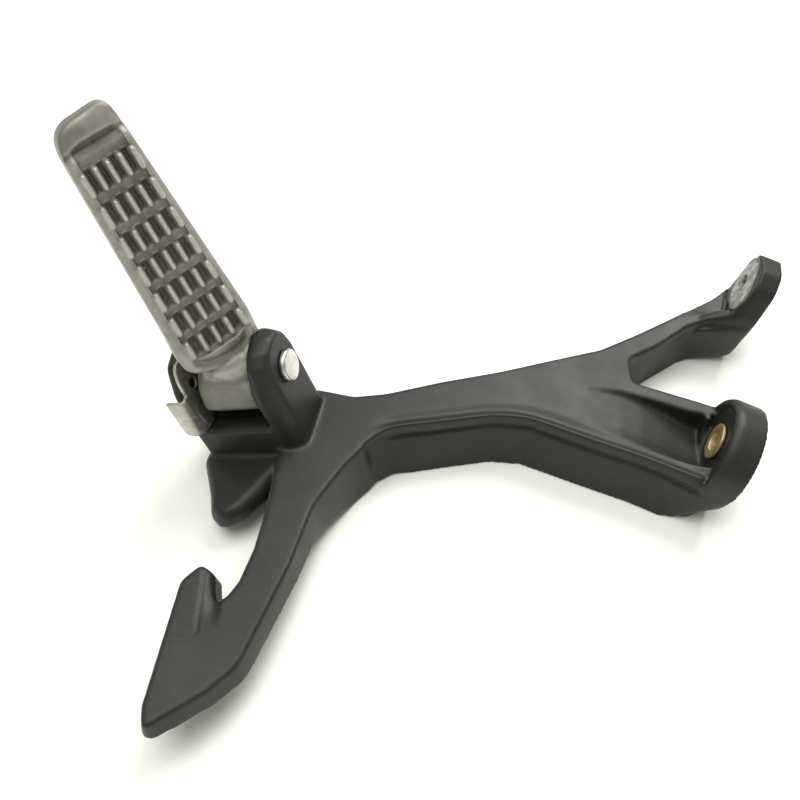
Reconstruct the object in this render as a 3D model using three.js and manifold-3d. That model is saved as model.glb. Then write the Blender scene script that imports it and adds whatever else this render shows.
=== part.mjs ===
// Passenger footrest bracket for a motorcycle, lying on its back.
// Millimetres, +Z up, table at z = 0, origin under the middle of the bounding box.
//
// The black casting is a beam that forks into two bolting feet on the right and carries a
// clevis on the left, with a flat luggage hook running towards -Y.  A ribbed aluminium footrest
// stands in the clevis and folds down over the hook arm about a headed pin.

import * as THREE from 'three';
import { mergeVertices } from 'three/addons/utils/BufferGeometryUtils.js';
import Module from 'manifold-3d';

// ---------------------------------------------------------------- driving dimensions (mm)
const ORIGIN_SHIFT = [-97.87, 3.45]; // moves the plan, drawn from the pin, to the box centre
const PIN_HEIGHT = 54; // hinge pin centre above the table
const PIN_TILT = 17.3; // degrees, pin head end higher than clip end
const WEB_TOP = 28; // top face of beam and hook arm
const BEAD_HEIGHT = 5; // upright lip along the edge of the top face
const UNDERCUT = 1.0; // groove under the lip
const SKIN = 7; // casting thickness over the pockets underneath

const EAR_INNER_RIGHT = 13.0;
const EAR_OUTER_RIGHT = 23.4;
const EAR_INNER_LEFT = -17.2;
const EAR_OUTER_LEFT = -24.6;
const CLEVIS_FLOOR = -19; // below the pin, along the peg axis
const CLEVIS_FRONT = -18.6;
const CLEVIS_BACK = 13;

const PIN_RADIUS = 4;
const PIN_HOLE_RADIUS = 4.3;
const PIN_HEAD_RADIUS = 6.9;
const PIN_HEAD_THICKNESS = 2.5;
const PIN_GROOVE_RADIUS = 3;
const CLEARANCE = 0.3;

const TREAD_TWIST = 46.9; // degrees, tread width against the hinge pin
const TREAD_LEVEL = 9; // rim of the tread above the peg axis
const ROOT_HALF_WIDTH = 16.8;
const TIP_HALF_WIDTH = 11.1;
const PEG_ROOT = 9.8;
const PEG_TIP = 122;
const EAR_SWEEP = 17.6; // radius the footrest keeps inside beside an ear
const RIB_ROWS = 7;
const RIB_COLUMNS = 5;
const RIB_FIRST_ROW = 26.5; // row nearest the hinge
const RIB_PITCH = 12.4;
const RIB_LENGTH = 9;
const RIB_WIDTH = 3;

const BALL_RADIUS = 3.5;
const BALL_SEAT = { y: 4.5, z: 10.5 };

const FOOT_AXIS = new THREE.Vector3(-0.965, 0.14, 0.215).normalize(); // out of the bolt face
const FOOT_THICKNESS = 12.4;
const SEAT_THICKNESS = 11.8; // metal under the bolt head
const LOWER_FOOT = new THREE.Vector3(217.4, 16.8, 23.2);
const UPPER_FOOT = new THREE.Vector3(233.6, 118.5, 26.2);
const LOWER_HOLE = [-1, 3.5]; // off the middle of the foot: level, then up
const UPPER_HOLE = [-2.5, 5.5];
const LOWER_FOOT_RADIUS = 23.6;
const SEAT_RADIUS = 17;
const COLLAR_RADIUS = 6.2;
const COLLAR_FLANGE_RADIUS = 8.2;
const COLLAR_FLANGE = 1.2;
const BOLT_HOLE_RADIUS = 4.4;

// ---------------------------------------------------------------- solids
const wasm = await Module();
wasm.setup();

function toSolid(geometry) {
  const bare = geometry.clone();
  bare.deleteAttribute('normal');
  bare.deleteAttribute('uv');
  const merged = mergeVertices(bare, 1e-4);
  const mesh = new wasm.Mesh({
    numProp: 3,
    vertProperties: new Float32Array(merged.attributes.position.array),
    triVerts: new Uint32Array(merged.index.array),
  });
  return new wasm.Manifold(mesh);
}

function toMesh(name, solid, material) {
  const out = solid.getMesh();
  const geometry = new THREE.BufferGeometry();
  geometry.setAttribute('position', new THREE.BufferAttribute(new Float32Array(out.vertProperties), 3));
  geometry.setIndex(new THREE.BufferAttribute(new Uint32Array(out.triVerts), 1));
  geometry.computeVertexNormals();
  const mesh = new THREE.Mesh(geometry, material);
  mesh.name = name;
  return mesh;
}

const joined = (solids) => solids.reduce((sum, solid) => sum.add(solid));
const without = (solid, cutters) => cutters.reduce((rest, cutter) => rest.subtract(cutter), solid);

// Rings of 3-D points, all with the same count, closed with flat caps cut from outline.
function loft(rings, outline) {
  const count = outline.length;
  const positions = rings.flat(2);
  const index = [];
  for (let k = 0; k + 1 < rings.length; k += 1) {
    for (let i = 0; i < count; i += 1) {
      const j = (i + 1) % count;
      const a = k * count;
      const b = a + count;
      index.push(a + i, a + j, b + j, a + i, b + j, b + i);
    }
  }
  const flat = outline.map(([x, y]) => new THREE.Vector2(x, y));
  const top = (rings.length - 1) * count;
  for (const [p, q, r] of THREE.ShapeUtils.triangulateShape(flat, [])) {
    const area = THREE.ShapeUtils.area([flat[p], flat[q], flat[r]]);
    const [s, t] = area > 0 ? [q, r] : [r, q];
    index.push(top + p, top + s, top + t, p, t, s);
  }
  const geometry = new THREE.BufferGeometry();
  geometry.setAttribute('position', new THREE.Float32BufferAttribute(positions, 3));
  geometry.setIndex(index);
  return geometry;
}

// A polygon of [x, y, radius, lean] corners, counter-clockwise, with each corner rounded.
// lean is how far the wall below that corner steps outwards; a point keeps it as its third value.
function rounded(corners, steps = 4) {
  const points = [];
  corners.forEach(([x, y, radius = 0, lean = 0], i) => {
    const before = corners[(i + corners.length - 1) % corners.length];
    const after = corners[(i + 1) % corners.length];
    const here = new THREE.Vector2(x, y);
    const back = new THREE.Vector2(before[0], before[1]).sub(here);
    const ahead = new THREE.Vector2(after[0], after[1]).sub(here);
    const room = 0.48 * Math.min(back.length(), ahead.length());
    back.normalize();
    ahead.normalize();
    const half = Math.acos(THREE.MathUtils.clamp(back.dot(ahead), -1, 1)) / 2;
    const reach = Math.min(radius / Math.tan(half), room);
    if (reach < 0.05) {
      points.push([x, y, lean]);
      return;
    }
    const from = here.clone().addScaledVector(back, reach);
    const to = here.clone().addScaledVector(ahead, reach);
    for (let k = 0; k <= steps; k += 1) {
      const t = k / steps;
      const u = 1 - t;
      points.push([
        u * u * from.x + 2 * u * t * here.x + t * t * to.x,
        u * u * from.y + 2 * u * t * here.y + t * t * to.y,
        lean,
      ]);
    }
  });
  return points;
}

// The outline moved outwards by distance (inwards when negative) plus leans times its own lean.
function grown(outline, amount, leans = 0) {
  const count = outline.length;
  return outline.map(([x, y, lean = 0], i) => {
    const distance = amount + lean * leans;
    const [px, py] = outline[(i + count - 1) % count];
    const [nx, ny] = outline[(i + 1) % count];
    const side = new THREE.Vector2(nx - px, ny - py).normalize();
    return [x + side.y * distance, y - side.x * distance];
  });
}

const atHeight = (outline, z) => outline.map(([x, y]) => [x, y, typeof z === 'function' ? z(x, y) : z]);

// A short post of the given plan up to the top face, its first two corners stepped out at the table.
function drafted(outline, [step, slide]) {
  const foot = outline.map(([x, y], i) => (i < 2 ? [x + slide * 0.3, y + step] : [x, y]));
  return loft([atHeight(foot, 0), atHeight(outline, WEB_TOP - BEAD_HEIGHT)], outline);
}

function cylinder(radius, from, to, segments = 32, farRadius = radius) {
  const geometry = new THREE.CylinderGeometry(farRadius, radius, to - from, segments);
  geometry.rotateX(Math.PI / 2);
  geometry.translate(0, 0, (from + to) / 2);
  return geometry;
}

// Maps local Z on to an axis, with local X kept level.
function frameOn(axis, origin) {
  const level = new THREE.Vector3(0, 0, 1).cross(axis).normalize();
  const up = axis.clone().cross(level);
  return new THREE.Matrix4().makeBasis(level, up, axis).setPosition(origin);
}

// Local x = pin axis, y = across the clevis, z = along the peg.
const CLEVIS = new THREE.Matrix4()
  .makeRotationY(THREE.MathUtils.degToRad(-PIN_TILT))
  .setPosition(0, 0, PIN_HEIGHT);
// Local x = level, z = pin axis: used to draw round things on the pin.
const PIN_LINE = CLEVIS.clone().multiply(new THREE.Matrix4().makeRotationY(Math.PI / 2));
// A plate drawn in (y, z) of the clevis frame and given a thickness along the pin.
const ACROSS_PIN = CLEVIS.clone().multiply(
  new THREE.Matrix4().makeBasis(
    new THREE.Vector3(0, 1, 0), new THREE.Vector3(0, 0, 1), new THREE.Vector3(1, 0, 0),
  ),
);
const TREAD = CLEVIS.clone().multiply(
  new THREE.Matrix4().makeRotationZ(THREE.MathUtils.degToRad(TREAD_TWIST)),
);

// ---------------------------------------------------------------- bracket casting
const BEAM_OUTLINE = rounded([
  [22, -15, 3], [44, -22, 6, 1], [53, -15, 8, 3], [64, 0, 16, 6], [88, 8, 10, 5],
  [110, 16, 20, 5], [126, 17.5, 14, 5], [150, 11, 10, 4.5], [176, 5, 8, 4.5],
  [190, 0.5, 6, 4.5], [200, -2.5, 4, 0.5],
  [212, 4, 4], [212, 40, 3], [200, 43.5, 6], [172, 49.5, 3, 1],
  [170, 64, 6, 1], [184, 75.5, 20, -1], [199, 92, 10], [212, 100.5, 10], [221, 104.5, 3],
  [222, 130, 3], [212, 118, 14, 1], [194, 100, 20, 1], [174, 82.5, 14, 1], [156, 68, 12, 1],
  [110, 44.5, 20, 1], [84, 33, 20, 1], [60, 21, 14, 1], [46, 16.5, 10, 1], [28, 17.5, 6], [22, 14, 3],
]);

const HOOK_OUTLINE = rounded([
  [20, -16, 1], [21.5, -28, 8], [24, -52, 14], [24.8, -67, 14], [23.5, -82, 6], [21, -89, 4],
  [17.5, -92, 3], [14.6, -86, 2], [12.6, -80.5, 2], [7, -77.5, 4], [1.5, -86, 6],
  [5.5, -133, 3], [8.5, -141.5, 3], [26, -125, 14], [34, -114, 16],
  [41, -72, 24], [43, -44, 22, 0.5], [51, -22, 14, 2], [58, -9, 4, 3], [40, 0, 1],
]);

// The gusset's top slopes with the pin; its thickness is measured down from that slope.
const GUSSET_THICKNESS = 11;
const GUSSET_OUTLINE = rounded([
  [-15.2, -15, 0, 1], [-15.2, -20.5, 3, 1], [-6.5, -36.5, 10, 1.2], [-1.8, -46.5, 4, 2],
  [4.4, -49, 4, 3.2], [9, -44, 5, 5], [14, -34.8, 8, 5.5], [20.6, -21.7, 1, 4], [21.5, -12, 0], [-13, -12, 0],
]);
const gussetTop = (x) => 24 + 0.3115 * (x - 24);

// The hook arm's underside: on the table under the beam, then rising towards the finger.
const hookUnderside = (x, y) => Math.min(
  11 + (-20 - y) * 0.065,
  THREE.MathUtils.mapLinear(y, -26, -52, 0, 13.1),
);

function beamSolid() {
  const lip = WEB_TOP - BEAD_HEIGHT;
  const rings = [
    atHeight(grown(BEAM_OUTLINE, 0, 1), 0),
    atHeight(grown(BEAM_OUTLINE, -UNDERCUT), lip - 1.5),
    atHeight(BEAM_OUTLINE, lip),
    atHeight(BEAM_OUTLINE, WEB_TOP - 1),
    atHeight(grown(BEAM_OUTLINE, -1), WEB_TOP),
  ];
  return toSolid(loft(rings, BEAM_OUTLINE));
}

function hookSolid() {
  const rings = [
    atHeight(grown(HOOK_OUTLINE, 1.8, 1), (x, y) => Math.max(0, hookUnderside(x, y))),
    atHeight(HOOK_OUTLINE, WEB_TOP - 1),
    atHeight(grown(HOOK_OUTLINE, -1), WEB_TOP),
  ];
  return toSolid(loft(rings, HOOK_OUTLINE));
}

function gussetSolid() {
  const sunk = (depth) => (x) => gussetTop(x) - depth;
  return toSolid(loft([
    atHeight(grown(GUSSET_OUTLINE, -1.4, 1), sunk(GUSSET_THICKNESS)),
    atHeight(grown(GUSSET_OUTLINE, 0, 1), sunk(GUSSET_THICKNESS - 2)),
    atHeight(grown(GUSSET_OUTLINE, 0, 0.75), sunk(4)),
    atHeight(grown(GUSSET_OUTLINE, 0, 0.35), sunk(1.5)),
    atHeight(grown(GUSSET_OUTLINE, -0.6), sunk(0)),
  ], GUSSET_OUTLINE));
}

// Outlines of the right ear across the pin: the inner one is the fuller, so the front leans back.
// The lean of each corner is how far the inner edge is set back there.
const EAR_INNER_OUTLINE = rounded([
  [13, -46, 0, 0.5], [13, 3, 3, 1.5], [11.8, 10.5, 4, 2], [7.5, 15.6, 4, 2.2], [0, 17.3, 5, 2.2],
  [-8, 15.2, 5, 2.2], [-13.6, 10.4, 5, 2.2], [-17, 2, 6, 1.8], [-18.4, -8, 8, 1.2], [-18.8, -46, 0, 1],
]);
const EAR_OUTER_OUTLINE = rounded([
  [11.2, -46, 0], [11.2, 3, 3], [9.5, 9.5, 4], [5.5, 13.5, 4], [0, 14.8, 5],
  [-6, 13, 5], [-10, 8.5, 5], [-11.5, 1, 6], [-12.2, -10, 8], [-12.6, -46, 0],
]);

function rightEarSolid() {
  const inner = EAR_INNER_OUTLINE;
  const between = (share) => inner.map(([x, y], i) => [
    THREE.MathUtils.lerp(x, EAR_OUTER_OUTLINE[i][0], share),
    THREE.MathUtils.lerp(y, EAR_OUTER_OUTLINE[i][1], share),
  ]);
  const ear = loft([
    atHeight(grown(inner, 0, -1), EAR_INNER_RIGHT),
    atHeight(grown(inner, 0, -0.4), EAR_INNER_RIGHT + 1.2),
    atHeight(inner, EAR_INNER_RIGHT + 2.8),
    atHeight(between(0.12), EAR_OUTER_RIGHT - 5),
    atHeight(between(0.38), EAR_OUTER_RIGHT - 2.4),
    atHeight(between(0.7), EAR_OUTER_RIGHT - 0.8),
    atHeight(between(1), EAR_OUTER_RIGHT),
  ], inner);
  return toSolid(ear.applyMatrix4(ACROSS_PIN));
}

function clevisSolids() {
  const base = rounded([
    [EAR_OUTER_LEFT, -17, 0], [-25.2, -36, 2], [-27, -40, 0], [-27, -46, 0],
    [15.8, -46, 0], [15.8, -17, 0], [12, CLEVIS_FLOOR, 0], [-16, CLEVIS_FLOOR, 0],
  ]);
  // drawn in (pin axis, peg axis) and given a depth across the clevis
  const stand = new THREE.Matrix4().makeBasis(
    new THREE.Vector3(1, 0, 0), new THREE.Vector3(0, 0, 1), new THREE.Vector3(0, -1, 0),
  );
  const block = loft([
    atHeight(base, -CLEVIS_BACK), atHeight(base, -CLEVIS_FRONT - 2),
    atHeight(grown(base, -0.8), -CLEVIS_FRONT),
  ], base);
  block.applyMatrix4(stand).applyMatrix4(CLEVIS);

  const left = rounded([
    [13, -24, 0], [13, 4, 0], [11, 12, 6], [0.5, 16.6, 8],
    [-11, 14.2, 7], [-17, 2, 8], [-19, -12, 6], [-18.3, -24, 0],
  ]);
  const leftEar = loft([
    atHeight(grown(left, -2), EAR_OUTER_LEFT),
    atHeight(left, EAR_OUTER_LEFT + 2),
    atHeight(left, EAR_INNER_LEFT),
  ], left);
  leftEar.applyMatrix4(ACROSS_PIN);
  return [toSolid(block), rightEarSolid(), toSolid(leftEar)];
}

function footSolid(centre, outline) {
  const foot = loft([
    atHeight(outline, 0),
    atHeight(outline, FOOT_THICKNESS - 1.5),
    atHeight(grown(outline, -1.5), FOOT_THICKNESS),
  ], outline);
  return toSolid(foot.applyMatrix4(frameOn(FOOT_AXIS, centre)));
}

function footCutter(centre, hole, radius, from, to, farRadius = radius) {
  const bore = cylinder(radius, from, to, 36, farRadius).translate(hole[0], hole[1], 0);
  return toSolid(bore.applyMatrix4(frameOn(FOOT_AXIS, centre)));
}

function ring(radius, count = 36, squash = 1) {
  const points = [];
  for (let i = 0; i < count; i += 1) {
    const angle = (2 * Math.PI * i) / count;
    points.push([radius * Math.cos(angle), radius * squash * Math.sin(angle)]);
  }
  return points;
}

const UPPER_FOOT_OUTLINE = rounded([
  [22.8, -28, 15], [22.8, 4, 12], [18, 20, 8], [9, 25.4, 8],
  [-5, 23.5, 6], [-14, 13, 8], [-14, -28, 5],
]);

// Metal that runs the near wall of an arm out into the side of its foot.
function footBlend(arm, foot, keep) {
  const near = foot.intersect(toSolid(keep));
  return wasm.Manifold.hull([toSolid(arm), near]);
}

function block(low, high) {
  const size = high.map((value, i) => value - low[i]);
  const middle = high.map((value, i) => (value + low[i]) / 2);
  return new THREE.BoxGeometry(...size).translate(...middle);
}

// Pockets that leave the underside of the beam as a channel with cross ribs.
function undersidePockets() {
  const pockets = [
    [[40, -10, 5], [56, -8, 5], [66, 4, 5], [66, 17, 4], [50, 11, 4], [40, 11, 4]],
    [[71, 7, 4], [88, 14, 4], [112, 22, 4], [112, 39, 4], [86, 27.5, 4], [71, 20, 4]],
    [[117, 23, 4], [128, 23, 4], [152, 17, 4], [164, 14, 4], [164, 45, 4], [158, 61, 5], [117, 42, 4]],
  ];
  return pockets.map((corners) => {
    const outline = rounded(corners, 3);
    return toSolid(loft([
      atHeight(grown(outline, 1), -1),
      atHeight(grown(outline, -1.2), WEB_TOP - SKIN),
    ], outline));
  });
}

// The scooped floor of the lower arm, along which the bolt and its driver go in.
function lowerArmScoop() {
  const [x0, y0] = LOWER_HOLE;
  const section = ([z, radius, squash, dx, dy]) => ring(radius, 32, squash)
    .map(([x, y]) => [x + x0 + dx, y + y0 + dy, z]);
  const stations = [
    [SEAT_THICKNESS, SEAT_RADIUS, 1, 0, 0],
    [20, SEAT_RADIUS - 0.4, 0.94, 0, 0.5],
    [36, SEAT_RADIUS - 2, 0.8, 0.5, 3],
    [62, 10, 0.6, 1.5, 6],
  ];
  const rings = stations.map(section);
  return toSolid(loft(rings, ring(SEAT_RADIUS, 32)).applyMatrix4(frameOn(FOOT_AXIS, LOWER_FOOT)));
}

function bracketCasting() {
  const lower = footSolid(LOWER_FOOT, ring(LOWER_FOOT_RADIUS, 48));
  const upper = footSolid(UPPER_FOOT, UPPER_FOOT_OUTLINE);
  const lowerWall = drafted([[186, 2.4], [192, 0.4], [192, 14], [186, 14]], [-4, 3.2]);
  const upperWall = drafted([[199, 93], [206, 98.6], [209, 110], [201, 106]], [2.5, 0]);
  const solids = [
    footBlend(lowerWall, lower, block([180, -20, 0], [240, 14, 27])),
    footBlend(upperWall, upper, block([190, 80, 0], [250, 106, 27])),
    beamSolid(),
    hookSolid(),
    gussetSolid(),
    ...clevisSolids(),
    lower,
    upper,
  ];
  const table = new THREE.BoxGeometry(500, 500, 60).translate(100, 0, -30);
  // nothing behind the bolting faces, which share one plane
  const behind = new THREE.BoxGeometry(400, 400, 40).translate(0, 0, -20);
  behind.applyMatrix4(frameOn(FOOT_AXIS, LOWER_FOOT));
  const pinHole = toSolid(cylinder(PIN_HOLE_RADIUS, -40, 40, 32).applyMatrix4(PIN_LINE));
  const cutters = [
    toSolid(table), toSolid(behind), pinHole, lowerArmScoop(), ...undersidePockets(),
    footCutter(LOWER_FOOT, LOWER_HOLE, COLLAR_RADIUS + CLEARANCE, -5, 30),
    footCutter(UPPER_FOOT, UPPER_HOLE, BOLT_HOLE_RADIUS, -5, 30),
    footCutter(UPPER_FOOT, UPPER_HOLE, 10.3, SEAT_THICKNESS, 50, 12),
  ];
  return without(joined(solids), cutters);
}

// ---------------------------------------------------------------- footrest
const treadHalfWidth = (z) => THREE.MathUtils.mapLinear(
  z, RIB_FIRST_ROW, PEG_TIP, ROOT_HALF_WIDTH, TIP_HALF_WIDTH,
);
const treadCentre = (z) => THREE.MathUtils.mapLinear(z, RIB_FIRST_ROW, PEG_TIP, -0.8, -0.2);

// Maps a plan drawn in (across, along) the tread on to it, with height measured out of the tread.
const ON_TREAD = TREAD.clone().multiply(new THREE.Matrix4().makeBasis(
  new THREE.Vector3(1, 0, 0), new THREE.Vector3(0, 0, 1), new THREE.Vector3(0, -1, 0),
));

// Plan of the footrest: a rounded heel by the hinge, straight tapering sides and a blunt tip.
const PEG_PLAN = rounded([
  [-8, 10.6, 6], [2, PEG_ROOT - 0.4, 8], [10, 10.8, 6], [15.2, 15.5, 7], [16, 27, 12], [11.2, 112, 20],
  [10.8, PEG_TIP - 0.6, 9], [-10.9, 119.5, 13], [-11.7, 111, 12], [-17.3, 32, 10], [-19, 17.5, 8],
], 5);

// Rounded-oblong section of the footrest body, tread towards -y.
function pegSection(z, drop, under) {
  const half = treadHalfWidth(z) + 2.5;
  const centre = treadCentre(z);
  const top = -TREAD_LEVEL + drop;
  const soft = Math.min(8, half * 0.6);
  const outline = rounded([
    [centre + half, top, 0], [centre + half, under, soft],
    [centre - half, under, soft], [centre - half, top, 0],
  ], 4);
  return outline.map(([x, y]) => [x, y, z]);
}

function pegBody() {
  const stations = [
    [PEG_ROOT - 1, 3, 3], [PEG_ROOT + 1, 1.6, 4.6], [PEG_ROOT + 4, 0.6, 6.4], [PEG_ROOT + 8, 0, 7.6],
    [26, 0, 8], [50, 0, 7], [80, 0, 5.4], [105, 0, 3.8], [113, 0, 2.8], [118, 0.5, 1],
    [PEG_TIP - 1, 1.8, -1.2], [PEG_TIP + 1, 3.6, -3],
  ];
  const rings = stations.map(([z, drop, under]) => pegSection(z, drop, under));
  const outline = rings[3].map(([x, y]) => [x, y]);
  const stock = toSolid(loft(rings, outline).applyMatrix4(TREAD));
  const plan = toSolid(loft([
    atHeight(grown(PEG_PLAN, -3), -TREAD_LEVEL - 1),
    atHeight(PEG_PLAN, -2),
    atHeight(PEG_PLAN, TREAD_LEVEL - 2.2),
    atHeight(grown(PEG_PLAN, -0.5), TREAD_LEVEL - 0.9),
    atHeight(grown(PEG_PLAN, -1.7), TREAD_LEVEL + 0.1),
  ], PEG_PLAN).applyMatrix4(ON_TREAD));
  return stock.intersect(plan);
}

// The sunk floor that the ribs stand on, inside a raised rim.
function treadFloorCutter() {
  const border = 2.8;
  const low = RIB_FIRST_ROW - 6.8;
  const high = 114;
  const a = treadHalfWidth(low) - border;
  const b = treadHalfWidth(high) - border;
  const outline = rounded([
    [treadCentre(low) - a, low, 9], [treadCentre(low) + a + 0.5, low, 9],
    [treadCentre(high) + b + 0.5, high, 3], [treadCentre(high) - b, high, 3],
  ], 5);
  const cutter = loft([
    atHeight(grown(outline, -0.8), TREAD_LEVEL - 1.6),
    atHeight(grown(outline, 0.4), TREAD_LEVEL + 6),
  ], outline);
  return toSolid(cutter.applyMatrix4(ON_TREAD));
}

function treadRib(x, z, lean) {
  const w = RIB_WIDTH / 2;
  const l = RIB_LENGTH / 2;
  const outline = [
    [-w, -l + 1.2], [-w + 0.9, -l], [w - 0.9, -l], [w, -l + 1.2],
    [w, l - 1.2], [w - 0.9, l], [-w + 0.9, l], [-w, l - 1.2],
  ];
  const rib = loft([
    atHeight(outline, TREAD_LEVEL - 2.2),
    atHeight(outline, TREAD_LEVEL - 0.4),
    atHeight(outline.map(([px, py]) => [px * 0.45, py * 0.86]), TREAD_LEVEL + 0.7),
  ], outline);
  rib.rotateZ(lean);
  rib.translate(x, z, 0);
  return toSolid(rib.applyMatrix4(ON_TREAD));
}

function treadRibs() {
  const ribs = [];
  for (let row = 0; row < RIB_ROWS; row += 1) {
    const z = RIB_FIRST_ROW + row * RIB_PITCH;
    const gap = THREE.MathUtils.mapLinear(row, 0, RIB_ROWS - 1, 6.0, 4.65);
    for (let column = 0; column < RIB_COLUMNS; column += 1) {
      const side = column - (RIB_COLUMNS - 1) / 2;
      const taper = (6.0 - 4.65) / ((RIB_ROWS - 1) * RIB_PITCH);
      ribs.push(treadRib(-0.5 + side * gap, z, Math.atan(side * taper)));
    }
  }
  return ribs;
}

// The block that fills the clevis: flat front, flat heel that stops on the clevis floor.
function tongueSolid() {
  const outline = rounded([
    [-16.2, 1, 0], [-16.2, -7, 1], [-10.5, -14.4, 4], [-4, -17.3, 3], [1.5, -18.4, 1],
    [11, -18.7, 1.5], [12, -8, 2], [12, 15.5, 0], [3, 15.5, 0], [-4, 11.5, 0],
  ], 3);
  const tongue = loft([
    atHeight(grown(outline, -0.8), -12.8), atHeight(outline, -12),
    atHeight(outline, 11.6), atHeight(grown(outline, -0.8), 12.4),
  ], outline);
  return toSolid(tongue.applyMatrix4(ACROSS_PIN));
}

// Metal between the tongue's front and the lip of the heel.
function heelBlend(tongue, body) {
  const low = block([-12.8, -16.2, -4], [12.4, 8, 1]).applyMatrix4(CLEVIS);
  const lip = block([-30, -TREAD_LEVEL + 1.6, 10], [30, 8, 13.5]).applyMatrix4(TREAD);
  return wasm.Manifold.hull([
    tongue.intersect(toSolid(low)),
    body.intersect(toSolid(lip)),
  ]);
}

function footpegCasting() {
  // round shoulders that turn clear of the two ears
  const right = turned([
    [0, 12.7], [15.4, 12.7], [16.9, 14.2], [EAR_SWEEP, 15.6], [EAR_SWEEP, 40], [0, 40],
  ], 48);
  const left = turned([[0, -40], [24, -40], [24, -15.1], [EAR_SWEEP, -13.1], [0, -13.1]], 48);
  const shoulders = [right, left].map((shape) => toSolid(shape.applyMatrix4(PIN_LINE)));
  const tongue = tongueSolid();
  const peg = pegBody();
  const body = without(peg.add(heelBlend(tongue, peg)), [treadFloorCutter(), ...shoulders]);
  const bore = toSolid(cylinder(PIN_HOLE_RADIUS, -30, 30, 32).applyMatrix4(PIN_LINE));
  const seat = cylinder(BALL_RADIUS + CLEARANCE, -20, 2, 24);
  seat.rotateY(Math.PI / 2);
  seat.translate(0, BALL_SEAT.y, BALL_SEAT.z);
  const springHole = toSolid(seat.applyMatrix4(CLEVIS));
  return without(joined([body, tongue, ...treadRibs()]), [bore, springHole]);
}

// ---------------------------------------------------------------- pin, washer and clip
const PIN_FACE = EAR_OUTER_RIGHT + CLEARANCE;
const PIN_TAIL = EAR_OUTER_LEFT - 6;
const WASHER_FACE = EAR_OUTER_LEFT - CLEARANCE;
const WASHER_THICKNESS = 1.2;
const CLIP_FACE = WASHER_FACE - WASHER_THICKNESS - CLEARANCE;
const CLIP_THICKNESS = 1;

function turned(profile, segments = 40) {
  const points = profile.map(([radius, z]) => new THREE.Vector2(radius, z));
  const geometry = new THREE.LatheGeometry(points, segments);
  geometry.rotateX(Math.PI / 2);
  return geometry;
}

function hingePin() {
  const groove = CLIP_FACE + 0.2;
  const pin = turned([
    [0, PIN_TAIL], [PIN_RADIUS - 0.8, PIN_TAIL], [PIN_RADIUS, PIN_TAIL + 0.8],
    [PIN_RADIUS, groove - CLIP_THICKNESS - 0.4], [PIN_GROOVE_RADIUS, groove - CLIP_THICKNESS - 0.4],
    [PIN_GROOVE_RADIUS, groove], [PIN_RADIUS, groove],
    [PIN_RADIUS, PIN_FACE], [PIN_HEAD_RADIUS, PIN_FACE],
    [PIN_HEAD_RADIUS, PIN_FACE + PIN_HEAD_THICKNESS - 0.9],
    [PIN_HEAD_RADIUS - 0.8, PIN_FACE + PIN_HEAD_THICKNESS], [0, PIN_FACE + PIN_HEAD_THICKNESS],
  ]);
  return toSolid(pin.applyMatrix4(PIN_LINE));
}

function pinWasher() {
  const washer = turned([
    [PIN_HOLE_RADIUS, WASHER_FACE - WASHER_THICKNESS], [8, WASHER_FACE - WASHER_THICKNESS],
    [8, WASHER_FACE], [PIN_HOLE_RADIUS, WASHER_FACE],
    [PIN_HOLE_RADIUS, WASHER_FACE - WASHER_THICKNESS],
  ]);
  return toSolid(washer.applyMatrix4(PIN_LINE));
}

function retainingClip() {
  const outer = 6.6;
  const inner = PIN_GROOVE_RADIUS + CLEARANCE;
  const mouth = THREE.MathUtils.degToRad(38);
  const points = [];
  const steps = 28;
  for (let i = 0; i <= steps; i += 1) {
    const angle = mouth + ((2 * Math.PI - 2 * mouth) * i) / steps;
    points.push([outer * Math.cos(angle), outer * Math.sin(angle)]);
  }
  for (let i = steps; i >= 0; i -= 1) {
    const angle = mouth + ((2 * Math.PI - 2 * mouth) * i) / steps;
    points.push([inner * Math.cos(angle), inner * Math.sin(angle)]);
  }
  const clip = loft([
    atHeight(points, CLIP_FACE - CLIP_THICKNESS), atHeight(points, CLIP_FACE),
  ], points);
  return toSolid(clip.applyMatrix4(PIN_LINE));
}

// ---------------------------------------------------------------- detent
const PLATE_THICKNESS = 1.5;
const PLATE_BACK = EAR_INNER_LEFT + CLEARANCE;
const PLATE_FACE = PLATE_BACK + PLATE_THICKNESS;

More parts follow.
